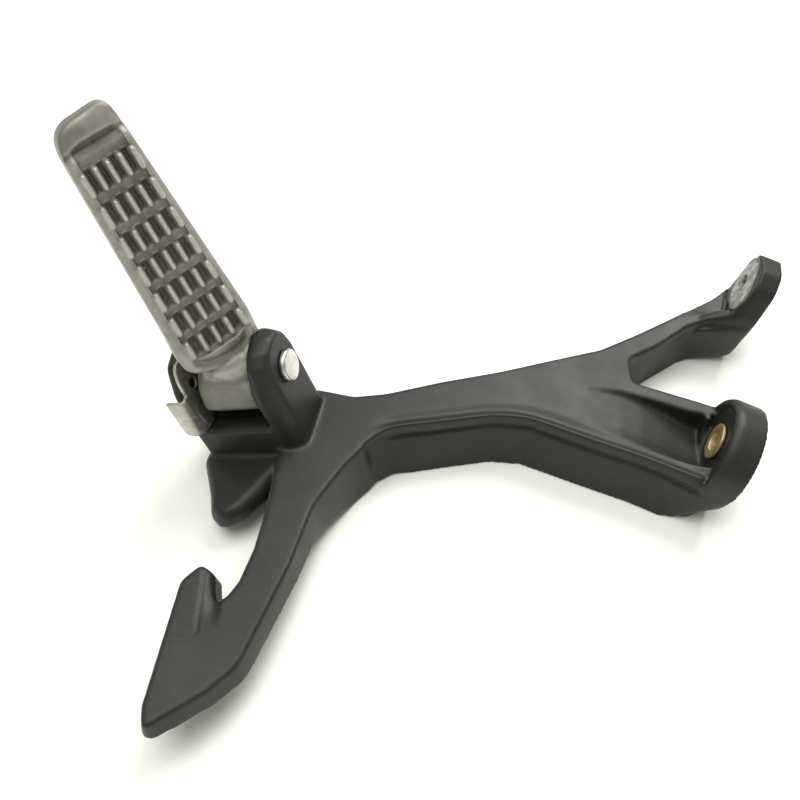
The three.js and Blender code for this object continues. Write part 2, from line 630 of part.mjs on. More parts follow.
// Steel plate flat on the inner face of the left ear, with a tab bent round the ear's front edge.
function detentPlate() {
  const outline = rounded([
    [9, -10, 3], [9, 8, 4], [0, 14.5, 6], [-10, 15.5, 5],
    [-17.6, 6, 5], [-20.9, -8, 0], [-20.9, -17.5, 0], [-2, -16, 3],
  ], 4);
  const flat = loft([atHeight(outline, PLATE_BACK), atHeight(outline, PLATE_FACE)], outline);
  // the tab: drawn in (pin axis, y), swept along the slanted front edge of the ear
  const t = PLATE_THICKNESS;
  const front = -19.6;
  const section = [
    [PLATE_FACE, front + 2], [PLATE_BACK, front + 2], [PLATE_BACK, front],
    [EAR_OUTER_LEFT - 1.2, front], [EAR_OUTER_LEFT - 1.2, front - t],
    [PLATE_BACK + 0.4, front - t], [PLATE_FACE, front - t + 1],
  ];
  const tab = loft([
    section.map(([x, y]) => [x, y - 0.6, -18.5]),
    section.map(([x, y]) => [x, y, -1]),
  ], section);
  tab.applyMatrix4(CLEVIS);
  const dimples = [0, 90].map((fold) => {
    const angle = THREE.MathUtils.degToRad(fold);
    const y = BALL_SEAT.y * Math.cos(angle) - BALL_SEAT.z * Math.sin(angle);
    const z = BALL_SEAT.y * Math.sin(angle) + BALL_SEAT.z * Math.cos(angle);
    const hole = cylinder(2.5, -30, -10, 20).rotateY(Math.PI / 2).translate(0, y, z);
    return toSolid(hole.applyMatrix4(CLEVIS));
  });
  const bore = toSolid(cylinder(PIN_HOLE_RADIUS, -30, 0, 32).applyMatrix4(PIN_LINE));
  return without(toSolid(flat.applyMatrix4(ACROSS_PIN)).add(toSolid(tab)), [bore, ...dimples]);
}

// the ball as it rides on the plate, between its two holes
const BALL_CENTRE = PLATE_FACE + BALL_RADIUS + 0.1;

function detentBall() {
  const ball = new THREE.SphereGeometry(BALL_RADIUS, 24, 16);
  ball.translate(BALL_CENTRE, BALL_SEAT.y, BALL_SEAT.z);
  return toSolid(ball.applyMatrix4(CLEVIS));
}

class Helix extends THREE.Curve {
  constructor(radius, length, turns) {
    super();
    this.radius = radius;
    this.length = length;
    this.turns = turns;
  }

  getPoint(t, target = new THREE.Vector3()) {
    const angle = 2 * Math.PI * this.turns * t;
    return target.set(this.length * t, this.radius * Math.cos(angle), this.radius * Math.sin(angle));
  }
}

function detentSpring() {
  const wire = 0.5;
  const start = BALL_CENTRE + BALL_RADIUS + CLEARANCE + wire;
  const end = 2 - CLEARANCE - wire;
  const shape = new THREE.Shape();
  ring(wire, 6).forEach(([x, y], i) => (i ? shape.lineTo(x, y) : shape.moveTo(x, y)));
  const spring = new THREE.ExtrudeGeometry(shape, {
    steps: 70, bevelEnabled: false, extrudePath: new Helix(2.7, end - start, 5),
  });
  spring.translate(start, BALL_SEAT.y, BALL_SEAT.z);
  return toSolid(spring.applyMatrix4(CLEVIS));
}

// ---------------------------------------------------------------- mounting collar
function mountCollar() {
  const back = CLEARANCE;
  const seat = SEAT_THICKNESS + CLEARANCE;
  const front = seat + COLLAR_FLANGE;
  const collar = turned([
    [BOLT_HOLE_RADIUS, back], [COLLAR_RADIUS, back], [COLLAR_RADIUS, seat],
    [COLLAR_FLANGE_RADIUS, seat], [COLLAR_FLANGE_RADIUS, front],
    [BOLT_HOLE_RADIUS, front], [BOLT_HOLE_RADIUS, back],
  ], 36);
  collar.translate(LOWER_HOLE[0], LOWER_HOLE[1], 0);
  return toSolid(collar.applyMatrix4(frameOn(FOOT_AXIS, LOWER_FOOT)));
}

// ---------------------------------------------------------------- materials and assembly
const paint = () => new THREE.MeshStandardMaterial({ color: 0x1c1c1d, roughness: 0.55, metalness: 0 });
const bareAluminium = () => new THREE.MeshStandardMaterial({ color: 0xa8a69e, roughness: 0.45, metalness: 0.9 });
const steel = () => new THREE.MeshStandardMaterial({ color: 0xc4c2bb, roughness: 0.3, metalness: 1 });
const dullSteel = () => new THREE.MeshStandardMaterial({ color: 0x9c9b92, roughness: 0.5, metalness: 1 });
const springSteel = () => new THREE.MeshStandardMaterial({ color: 0x6d6c68, roughness: 0.35, metalness: 1 });
const yellowZinc = () => new THREE.MeshStandardMaterial({ color: 0xb59a55, roughness: 0.45, metalness: 0.9 });

const part = new THREE.Group();
part.add(toMesh('bracket_casting', bracketCasting(), paint()));
part.add(toMesh('footpeg_casting', footpegCasting(), bareAluminium()));
part.add(toMesh('hinge_pin', hingePin(), steel()));
part.add(toMesh('pin_washer', pinWasher(), steel()));
part.add(toMesh('retaining_clip', retainingClip(), springSteel()));
part.add(toMesh('detent_plate', detentPlate(), dullSteel()));
part.add(toMesh('detent_ball', detentBall(), steel()));
part.add(toMesh('detent_spring', detentSpring(), springSteel()));
part.add(toMesh('lower_mount_collar', mountCollar(), yellowZinc()));
part.position.set(ORIGIN_SHIFT[0], ORIGIN_SHIFT[1], 0);

export default part;
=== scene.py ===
"""Motorcycle passenger footrest bracket on a pale table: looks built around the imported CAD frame.

Lengths are in millimetres until they are multiplied by MM. Plan drawings are (x, y) from the hinge pin.
"""
import math

import bmesh
import bpy
import numpy as np
from mathutils import Matrix, Vector


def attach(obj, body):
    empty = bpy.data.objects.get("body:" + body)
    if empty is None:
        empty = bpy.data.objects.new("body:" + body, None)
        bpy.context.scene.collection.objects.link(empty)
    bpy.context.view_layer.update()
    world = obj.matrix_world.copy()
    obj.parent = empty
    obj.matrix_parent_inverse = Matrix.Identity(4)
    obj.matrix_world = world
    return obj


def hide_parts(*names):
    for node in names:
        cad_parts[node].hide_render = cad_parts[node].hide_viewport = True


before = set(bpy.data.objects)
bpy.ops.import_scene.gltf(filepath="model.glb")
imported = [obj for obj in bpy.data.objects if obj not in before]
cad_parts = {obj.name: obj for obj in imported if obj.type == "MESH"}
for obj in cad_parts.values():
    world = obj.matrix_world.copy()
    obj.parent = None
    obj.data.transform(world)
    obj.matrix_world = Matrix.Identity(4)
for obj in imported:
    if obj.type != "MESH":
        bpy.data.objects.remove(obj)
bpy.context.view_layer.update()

MM = 0.001
PIN = Vector((-97.87, 3.45, 54.0)) * MM  # hinge pin centre
PIN_TILT = 17.3  # degrees, pin head end higher
TREAD_TWIST = 46.9  # degrees, tread width against the pin
WEB_TOP = 28.0  # top face of the beam and arms above the table

CLEVIS = Matrix.Translation(PIN) @ Matrix.Rotation(math.radians(-PIN_TILT), 4, "Y")
PIN_LINE = CLEVIS @ Matrix.Rotation(math.pi / 2, 4, "Y")  # local z runs along the pin
ACROSS_PIN = CLEVIS @ Matrix(((0, 0, 1), (1, 0, 0), (0, 1, 0))).to_4x4()  # local x, y are the clevis y, z
TREAD = CLEVIS @ Matrix.Rotation(math.radians(TREAD_TWIST), 4, "Z")
TREAD_OUT = TREAD.to_3x3() @ Vector((0, -1, 0))
TREAD_ALONG = TREAD.to_3x3() @ Vector((0, 0, 1))
PLAN = Matrix.Translation((PIN.x, PIN.y, 0.0))
FOOT_AXIS = Vector((-0.965, 0.14, 0.215)).normalized()

CASTING_VOXEL = 0.6
FOOTREST_VOXEL = 0.38
PLATE_VOXEL = 0.3
WELD_GAP = 1e-6  # metres


# ---------------------------------------------------------------- mesh helpers
def new_object(name, vertices, faces):
    mesh = bpy.data.meshes.new(name)
    mesh.from_pydata([tuple(v) for v in vertices], [], faces)
    mesh.validate()
    obj = bpy.data.objects.new(name, mesh)
    bpy.context.scene.collection.objects.link(obj)
    return obj


def copy_of(node, name):
    obj = bpy.data.objects.new(name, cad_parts[node].data.copy())
    obj.data.materials.clear()
    bpy.context.scene.collection.objects.link(obj)
    return obj


def apply_modifiers(obj):
    bpy.context.view_layer.update()
    graph = bpy.context.evaluated_depsgraph_get()
    mesh = bpy.data.meshes.new_from_object(obj.evaluated_get(graph))
    obj.modifiers.clear()
    obj.data = mesh


def weld(obj):
    bm = bmesh.new()
    bm.from_mesh(obj.data)
    bmesh.ops.remove_doubles(bm, verts=bm.verts, dist=WELD_GAP)
    bmesh.ops.recalc_face_normals(bm, faces=bm.faces)
    bm.to_mesh(obj.data)
    bm.free()


def remesh(obj, voxel):
    weld(obj)
    modifier = obj.modifiers.new("remesh", "REMESH")
    modifier.mode = "VOXEL"
    modifier.voxel_size = voxel * MM
    modifier.use_smooth_shade = True
    apply_modifiers(obj)


def smooth(obj, rounds, weights=None):
    """Laplacian smoothing; weights from 0 to 1 say how much of it each vertex takes."""
    modifier = obj.modifiers.new("smooth", "SMOOTH")
    modifier.factor = 0.5
    modifier.iterations = rounds
    if weights is not None:
        group = obj.vertex_groups.new(name="soft")
        steps = 10
        levels = np.clip(np.round(weights * steps), 0, steps).astype(int)
        for level in range(1, steps + 1):
            group.add(np.nonzero(levels == level)[0].tolist(), level / steps, "REPLACE")
        modifier.vertex_group = group.name
    apply_modifiers(obj)
    obj.vertex_groups.clear()


def boolean(obj, other, operation):
    modifier = obj.modifiers.new("cut", "BOOLEAN")
    modifier.operation = operation
    modifier.solver = "EXACT"
    modifier.object = other
    apply_modifiers(obj)
    bpy.data.objects.remove(other)


def coordinates(obj):
    co = np.empty(len(obj.data.vertices) * 3, np.float32)
    obj.data.vertices.foreach_get("co", co)
    return co.reshape(-1, 3).astype(float)


def normals(obj):
    out = np.empty(len(obj.data.vertices) * 3, np.float32)
    obj.data.vertex_normals.foreach_get("vector", out)
    return out.reshape(-1, 3).astype(float)


def set_coordinates(obj, co):
    obj.data.vertices.foreach_set("co", co.astype(np.float32).ravel())
    obj.data.update()


def into(matrix, co):
    """The points as millimetres in the frame of matrix."""
    inverse = np.array(matrix.inverted())
    return (co @ inverse[:3, :3].T + inverse[:3, 3]) / MM


def move(co, direction, amount):
    """Moves each point along one direction by its own number of millimetres."""
    co += np.array(direction) * (amount * MM)[:, None]


def hand_over(obj, node, body):
    """Shades the finished piece smooth and puts it in the CAD node's place."""
    obj.data.polygons.foreach_set("use_smooth", [True] * len(obj.data.polygons))
    obj.data.update()
    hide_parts(node)
    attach(obj, body)
    return obj


# ---------------------------------------------------------------- profiles and outlines
def rise(value, start, full):
    """Smooth step from 0 at start to 1 at full."""
    t = np.clip((value - start) / (full - start), 0, 1)
    return t * t * (3 - 2 * t)


def fall(value, full, gone):
    """Smooth step from 1 at full to 0 at gone."""
    return rise(-value, -gone, -full)


def ridge(value, centre, width):
    return np.exp(-(((value - centre) / width) ** 2))


def line_distance(points, line):
    """Distance from plan points to an open polyline, and the distance run along it."""
    best = np.full(len(points), 1e9)
    along = np.zeros(len(points))
    run = 0.0
    for (ax, ay), (bx, by) in zip(line[:-1], line[1:]):
        d = np.array([bx - ax, by - ay])
        length = np.hypot(*d)
        rel = points - np.array([ax, ay])
        t = np.clip(rel @ d / length**2, 0, 1)
        gap = rel - t[:, None] * d
        distance = np.hypot(gap[:, 0], gap[:, 1])
        closer = distance < best
        best = np.where(closer, distance, best)
        along = np.where(closer, run + t * length, along)
        run += length
    return best, along


def curved(points, rounds=3):
    """The polyline with its corners cut repeatedly, ends kept."""
    line = [np.array(p, float) for p in points]
    for _ in range(rounds):
        out = [line[0]]
        for a, b in zip(line[:-1], line[1:]):
            out.append(0.75 * a + 0.25 * b)
            out.append(0.25 * a + 0.75 * b)
        out.append(line[-1])
        line = out
    return [tuple(p) for p in line]


def circle(radius, centre=(0, 0), count=48):
    return [(centre[0] + radius * math.cos(2 * math.pi * i / count),
             centre[1] + radius * math.sin(2 * math.pi * i / count)) for i in range(count)]


def at_height(outline, z):
    return [(x, y, z) for x, y in outline]


def loft(name, rings, matrix):
    """A closed solid through rings of (x, y, z) points in millimetres of matrix's frame."""
    count = len(rings[0])
    faces = [tuple(range(count - 1, -1, -1))]
    for k in range(len(rings) - 1):
        a, b = k * count, (k + 1) * count
        faces += [(a + i, a + (i + 1) % count, b + (i + 1) % count, b + i) for i in range(count)]
    faces.append(tuple((len(rings) - 1) * count + i for i in range(count)))
    obj = new_object(name, [matrix @ (Vector(p) * MM) for ring in rings for p in ring], faces)
    weld(obj)
    return obj


# ---------------------------------------------------------------- bracket casting
def foot_frame(centre):
    """Local z out of the bolting face, x level, y up; centre from the pin and the table."""
    level = Vector((0, 0, 1)).cross(FOOT_AXIS).normalized()
    up = FOOT_AXIS.cross(level)
    turn = Matrix((level, up, FOOT_AXIS)).transposed().to_4x4()
    return Matrix.Translation(PLAN.translation + Vector(centre) * MM) @ turn


LOWER_FOOT = foot_frame((217.4, 16.8, 23.2))
UPPER_FOOT = foot_frame((233.6, 118.5, 26.2))
SEAT_HEIGHT = 10.9  # of the upper bolt seat above its foot's origin
LOWER_HOLE = (-1, 3.5)
UPPER_HOLE = (-2.5, 5.5)
UPPER_HOLE_RADIUS = 4.4

FILLER_PLAN = [(150, 14), (198, 2.5), (206, 5), (206, 40), (196, 42), (172, 46), (150, 44)]
CHANNEL_DEPTHS = ((146, 0.05), (156, 0.8), (166, 2.3), (176, 4.4), (186, 7.2), (196, 10.2), (203.2, 12.2))
CHANNEL_BEAD_SIDE = ((146, 166, 183, 195, 209), (16.5, 13.2, 9.2, 6.2, 5.5))  # plan x, plan y
CHANNEL_RIB_SIDE = ((146, 160, 170, 183, 196, 209), (40, 43, 41.6, 39.3, 36, 35.5))


def arm_filler():
    """Fills the plain scoop of the frame's lower arm, so that the fuller one can be cut."""
    return loft("filler", [at_height(FILLER_PLAN, 4), at_height(FILLER_PLAN, 27.9)], PLAN)


def arm_channel():
    """Channel between the bead and the rib of the lower arm, sinking towards the bolt seat."""
    rings = []
    for x, depth in CHANNEL_DEPTHS:
        bead = np.interp(x, *CHANNEL_BEAD_SIDE)
        rib = np.interp(x, *CHANNEL_RIB_SIDE)
        width = rib - bead
        low = WEB_TOP - depth
        section = [(bead, 28.2), (bead + 0.12 * width, low + 0.55 * depth),
                   (bead + 0.3 * width, low + 0.12 * depth), (bead + 0.5 * width, low),
                   (bead + 0.8 * width, low), (rib - 0.9, low + 0.12 * depth),
                   (rib - 0.2, low + 0.5 * depth), (rib, 28.2), (rib, 48), (bead, 48)]
        rings.append([(x, y, z) for y, z in section])
    return loft("channel", rings, PLAN)


def bolt_pocket():
    """Round pocket that leaves the lower foot's bolt seat flat."""
    profile = ((13.2, 11.65), (13.6, 14), (12.6, 20), (9.0, 26))
    return loft("pocket", [at_height(circle(radius, LOWER_HOLE), z) for radius, z in profile], LOWER_FOOT)


def upper_bolt_hole():
    outline = circle(UPPER_HOLE_RADIUS, UPPER_HOLE, 40)
    return loft("hole", [at_height(outline, -6), at_height(outline, 30)], UPPER_FOOT)


def upper_filler():
    """Fills the corner between the upper arm's near edge and the foot's near rim."""
    arm = [(202.5, 96.6, 27.9), (202.5, 98.5, 0), (208, 106, 27.9), (208, 106, 0)]
    rim = ((22.2, 5), (22.2, -12), (20, -19), (14, -19), (16, 7))
    foot = [(x, y, z) for x, y in rim for z in (2, 12.3)]
    bm = bmesh.new()
    for point in [PLAN @ (Vector(p) * MM) for p in arm] + [UPPER_FOOT @ (Vector(p) * MM) for p in foot]:
        bm.verts.new(point)
    result = bmesh.ops.convex_hull(bm, input=bm.verts)
    spare = set(result["geom_interior"]) | set(result["geom_unused"])
    spare = [item for item in spare if isinstance(item, bmesh.types.BMVert)]
    bmesh.ops.delete(bm, geom=spare, context="VERTS")
    obj = new_object("upper_filler", [], [])
    bm.to_mesh(obj.data)
    bm.free()
    weld(obj)
    return obj


def upper_seat():
    """Flat bolt seat of the upper foot, open towards the arm."""
    outline = curved([(19.4, -9), (20.2, 3), (17.8, 15.5), (9.5, 22.6), (-3, 20.6), (-11.5, 12),
                      (-30, 12), (-30, -9)], 2)
    wider = [(x * 1.03, y * 1.03) for x, y in outline]
    return loft("seat", [at_height(outline, SEAT_HEIGHT), at_height(wider, 14)], UPPER_FOOT)


def upper_scoop():
    """Shallow scoop of the upper arm that runs on into the bolt seat."""
    rings = []
    for z, low, near in ((SEAT_HEIGHT, -4.3, 19.3), (16, -5.6, 18.8), (22, -6.5, 19.4), (28, -7.0, 21.4),
                         (33, -6.3, 25.0), (37, -5.2, 27.5)):
        section = [(near, low + 5), (near - 1.2, low + 1.2), (near - 4, low), (-8, low), (-34, low + 0.6),
                   (-34, 30), (near + 0.6, 30)]
        rings.append(at_height(section, z))
    return loft("scoop", rings, UPPER_FOOT)


def carved_bracket():
    obj = copy_of("bracket_casting", "bracket_body")
    weld(obj)
    for filler in (arm_filler(), upper_filler()):
        boolean(obj, filler, "UNION")
    for cutter in (arm_channel(), bolt_pocket(), upper_seat(), upper_scoop(), upper_bolt_hole()):
        boolean(obj, cutter, "DIFFERENCE")
    remesh(obj, CASTING_VOXEL)
    return obj


def soften_bracket(obj):
    """Rounds every edge a little, and more where the casting flows."""
    smooth(obj, 10)
    co = coordinates(obj)
    x, y, z = into(PLAN, co).T
    clevis_foot = fall(into(CLEVIS, co)[:, 2], -20, -12) * fall(np.hypot(x - 5, y + 22), 34, 46)
    arm_scoop = rise(x, 140, 155) * fall(x, 198, 205) * rise(z, 12, 18)
    feet = rise(x, 196, 204) * fall(z, 18, 24) * (y < 112)
    beam_root = fall(np.hypot(x - 60, y + 10), 8, 20) * fall(z, 22, 26)
    upper_near_rim = rise(x, 204, 212) * fall(x, 229, 234) * rise(y, 80, 84) * fall(y, 99, 104)
    hook_underside = fall(y, -30, -22) * fall(z, 11, 17)
    smooth(obj, 26, np.maximum(clevis_foot, np.maximum(0.7 * arm_scoop, feet)))
    smooth(obj, 90, beam_root)
    smooth(obj, 40, upper_near_rim * rise(z, 12, 17))
    smooth(obj, 50, hook_underside)


# near edge of the beam, from the hook arm to the lower foot
BEAM_EDGE = curved([(60, -7), (64, 0), (88, 8), (110, 16), (126, 17.5), (150, 11), (176, 5), (198, -2),
                    (204, -3.5)])
UNDER_BEAD = 21.6  # height of the groove below the bead


def bead_place(plan):
    """Distance from the beam's near edge, and a share that fades out at the bead's ends."""
    distance, along = line_distance(plan[:, :2], BEAM_EDGE)
    return distance, rise(along, 3, 14) * fall(along, 147, 153)


def raise_bead(co, plan, distance, reach):
    """Raised bead along the beam's near edge, with a dip beside it."""
    on_top = rise(plan[:, 2], WEB_TOP - 2.5, WEB_TOP - 0.6)
    bead = 1.1 * ridge(distance, 1.0, 1.5) - 0.9 * ridge(distance, 5.2, 2.4)
    move(co, (0, 0, 1), bead * reach * on_top * (distance < 14))


def cut_bead_groove(co, plan, distance, reach, outward):
    groove = 1.3 * ridge(plan[:, 2], UNDER_BEAD, 1.3) * reach * (distance < 6) * (plan[:, 2] < 26)
    co -= outward * (groove * MM)[:, None]


def raise_seat_rims(co):
    for seat, radius, lift_of_centre in ((LOWER_FOOT, 21.6, 0), (UPPER_FOOT, 20.6, 2)):
        x, y, z = into(seat, co).T
        front = rise(z, 9.5, 12) * fall(z, 13.4, 15)
        rim = 1.3 * ridge(np.hypot(x, y - lift_of_centre), radius, 1.9)
        move(co, FOOT_AXIS, rim * front * rise(y, -20, -10))


HOOK_CREASE = ((8.8, -80.5), (15.0, -106.7))


def slope_hook_finger(co, plan):
    """Sloping facet on the hook's finger, with a crease on its left."""
    start, end = np.array(HOOK_CREASE)
    run = (end - start) / np.hypot(*(end - start))
    rel = plan[:, :2] - start
    forward = rel @ run
    right = rel[:, 0] * run[1] - rel[:, 1] * run[0]
    on_finger = (plan[:, 2] > 25) * (np.abs(rel[:, 0] - 4) < 14) * (forward > -6)
    inside = np.clip(-right, 0, None)
    facet = np.minimum(0.45 * inside, 2.2) * fall(forward, 8, 26) * fall(inside, 6, 9)
    crease = 0.5 * ridge(right, -0.4, 0.7) * fall(forward, 24, 27)
    move(co, (0, 0, -1), (facet + crease) * on_finger)


def make_bracket():
    obj = carved_bracket()
    soften_bracket(obj)
    co = coordinates(obj)
    plan = into(PLAN, co)
    distance, reach = bead_place(plan)
    raise_bead(co, plan, distance, reach)
    raise_seat_rims(co)
    cut_bead_groove(co, plan, distance, reach, normals(obj))
    slope_hook_finger(co, plan)
    set_coordinates(obj, co)
    smooth(obj, 2)
    return hand_over(obj, "bracket_casting", "bracket")


# ---------------------------------------------------------------- footrest
# end of the tread at the hinge, across and along the tread
HEEL_LINE = curved([(-17.7, 34), (-18.6, 19.5), (-15.5, 14.5), (-11.7, 12.2), (-6.6, 10.3), (-1, 9.5),
                    (4, 9.6), (8.4, 10.4), (12, 12.2), (14.7, 15.8), (16.3, 28)])
RIB_ROWS = 7
FIRST_ROW = 26.5  # middle of the first row of ribs along the tread
ROW_STEP = 12.4
RIB_PITCH = 6.0  # in the first row
RIB_PITCH_LOSS = 1.35  # less in the last row
GROOVE_DEPTH = 1.2
RIB_LIFT = 0.35


def soften_footrest(obj):
    """Rounds every edge, and lets the heel flow into the tongue."""
    smooth(obj, 4)
    co = coordinates(obj)
    _, inward, along = into(TREAD, co).T
    heel = fall(along, 14, 24) * fall(-inward, 3, 7) * rise(along, 2, 9)
    tongue_front = rise(along, -5, 0) * fall(along, 8.5, 12.5)
    heel = np.maximum(heel, tongue_front)
    smooth(obj, 60, np.maximum(heel, rise(along, 107, 110)))
    pin_side = into(CLEVIS, coordinates(obj))[:, 0]
    smooth(obj, 200, heel * fall(np.abs(pin_side + 1.0), 11.5, 13.5))


def tread_relief(across, along):
    """Height added to the tread: heel ridge, tip grooves, ribs and the grooves between them."""
    distance, _ = line_distance(np.stack([across, along], axis=1), HEEL_LINE)
    lift = 0.9 * ridge(distance, 2.6, 1.7) * fall(along, 22, 30)
    lift -= 0.7 * ridge(distance, 5.6, 1.6) * fall(along, 18, 24)
    lift -= 0.9 * ridge(along, 112.3, 1.3)
    lift += 0.5 * ridge(along, 109.2, 1.3)
    for row in range(RIB_ROWS):
        middle = FIRST_ROW + ROW_STEP * row
        pitch = RIB_PITCH - RIB_PITCH_LOSS * row / (RIB_ROWS - 1)
        place = (across + 0.5) / pitch
        row_ends = fall(np.abs(along - middle), 3.4, 4.9)
        sunk = 0.5 - 0.5 * np.cos(2 * np.pi * place)
        crest = RIB_LIFT * (1 - sunk) * (np.abs(place) < 2.5)
        groove = GROOVE_DEPTH * sunk * (np.abs(place) < 2.0)
        lift += row_ends * (crest - groove)
    return lift


def make_footrest():
    obj = copy_of("footpeg_casting", "footrest_body")
    remesh(obj, FOOTREST_VOXEL)
    soften_footrest(obj)
    co = coordinates(obj)
    across, inward, along = into(TREAD, co).T
    level = -inward
    # the tip is domed, and rounder at its left corner
    end = rise(along, 108, 118)
    left = np.clip(-across - 3, 0, None)
    right = np.clip(across - 5, 0, None)
    move(co, -TREAD_ALONG, (0.045 * left**2 + 0.03 * right**2) * end)
    move(co, -TREAD_OUT, 0.016 * across**2 * end * rise(level, 0, 8))
    move(co, TREAD_OUT, tread_relief(across, along) * rise(level, 5.4, 7.0))
    set_coordinates(obj, co)
    smooth(obj, 1)
    return hand_over(obj, "footpeg_casting", "footrest")


# ---------------------------------------------------------------- small steel pieces
PLATE_MIDDLE = -16.15  # along the pin, middle of the detent plate's thickness
PLATE_THICKNESS = 1.5
BALL_SEAT = (4.5, 10.5)  # clevis y, z of the ball when the footrest is up
FOLD_ANGLES = (0, math.pi / 2)
PIN_HEAD = 23.7  # along the pin, underside of its head


def band(path, thickness):
    """Closed outline of a strip of even thickness along a path."""
    half = thickness / 2
    left, right = [], []
    for k, (x, y) in enumerate(path):
        ax, ay = path[max(k - 1, 0)]
        bx, by = path[min(k + 1, len(path) - 1)]
        length = math.hypot(bx - ax, by - ay)
        nx, ny = (by - ay) / length, -(bx - ax) / length
        left.append((x + nx * half, y + ny * half))
        right.append((x - nx * half, y - ny * half))
    return left + right[::-1]


def plate_tab():
    """The plate's tab, bent round the ear's front edge and opening out downwards."""
    top = curved([(-16.15, -14), (-16.1, -18.4), (-15.7, -20.6), (-17.0, -21.8), (-20.2, -21.9),
                  (-24.2, -21.6)])
    low = curved([(-16.15, -12), (-16.4, -17), (-17.6, -20.0), (-20.0, -21.6), (-22.8, -21.6),
                  (-26.6, -19.8)])
    rings = []
    for z, share in ((4.2, 0), (3.0, 0), (-2, 0.3), (-8, 0.65), (-14, 0.95), (-17, 1)):
        path = [(a[0] + (b[0] - a[0]) * share, a[1] + (b[1] - a[1]) * share) for a, b in zip(top, low)]
        rings.append(at_height(band(path, PLATE_THICKNESS), z))
    return loft("tab", rings, CLEVIS)


def make_detent_plate():
    outline = curved([(9, -10), (9.5, 10.5), (6.5, 15.0), (0, 16.2), (-9, 17.0), (-14.5, 17.4),
                      (-17.6, 11), (-18.2, 3.8), (-18.2, -9), (-17.0, -16.5), (-2, -16), (9, -10)], 2)[:-1]
    faces = (PLATE_MIDDLE - PLATE_THICKNESS / 2, PLATE_MIDDLE + PLATE_THICKNESS / 2)
    obj = loft("detent_plate_body", [at_height(outline, z) for z in faces], ACROSS_PIN)
    boolean(obj, plate_tab(), "UNION")
    bore = circle(4.3)
    boolean(obj, loft("bore", [at_height(bore, -30), at_height(bore, 0)], PIN_LINE), "DIFFERENCE")
    for angle in FOLD_ANGLES:
        y = BALL_SEAT[0] * math.cos(angle) - BALL_SEAT[1] * math.sin(angle)
        z = BALL_SEAT[0] * math.sin(angle) + BALL_SEAT[1] * math.cos(angle)
        hole = circle(2.5, (y, z), 24)
        boolean(obj, loft("dimple", [at_height(hole, -30), at_height(hole, -10)], ACROSS_PIN), "DIFFERENCE")
    remesh(obj, PLATE_VOXEL)
    smooth(obj, 4)
    return hand_over(obj, "detent_plate", "bracket")


def rounded_piece(node, width):
    """A copy of a turned piece with its sharp edges rounded over."""
    obj = copy_of(node, node + "_body")
    weld(obj)
    modifier = obj.modifiers.new("edges", "BEVEL")
    modifier.width = width * MM
    modifier.segments = 3
    modifier.limit_method = "ANGLE"
    modifier.angle_limit = math.radians(40)
    apply_modifiers(obj)
    return hand_over(obj, node, "bracket")


def make_hinge_pin():
    """The pin turned finely, with its clip groove and the rounded edge of its head."""
    profile = [(0.001, -30.6), (3.2, -30.6), (3.7, -30.4), (4.0, -29.8), (4.0, -27.4), (3.0, -27.4),
               (3.0, -26.0), (4.0, -26.0), (4.0, PIN_HEAD)]
    head = [(6.5, 0), (6.85, 0.25), (6.9, 0.6), (6.9, 1.7), (6.7, 2.15), (6.3, 2.4), (5.7, 2.5), (0.001, 2.5)]
    profile += [(radius, PIN_HEAD + z) for radius, z in head]
    obj = loft("hinge_pin_body", [at_height(circle(radius, count=96), z) for radius, z in profile], PIN_LINE)
    return hand_over(obj, "hinge_pin", "bracket")


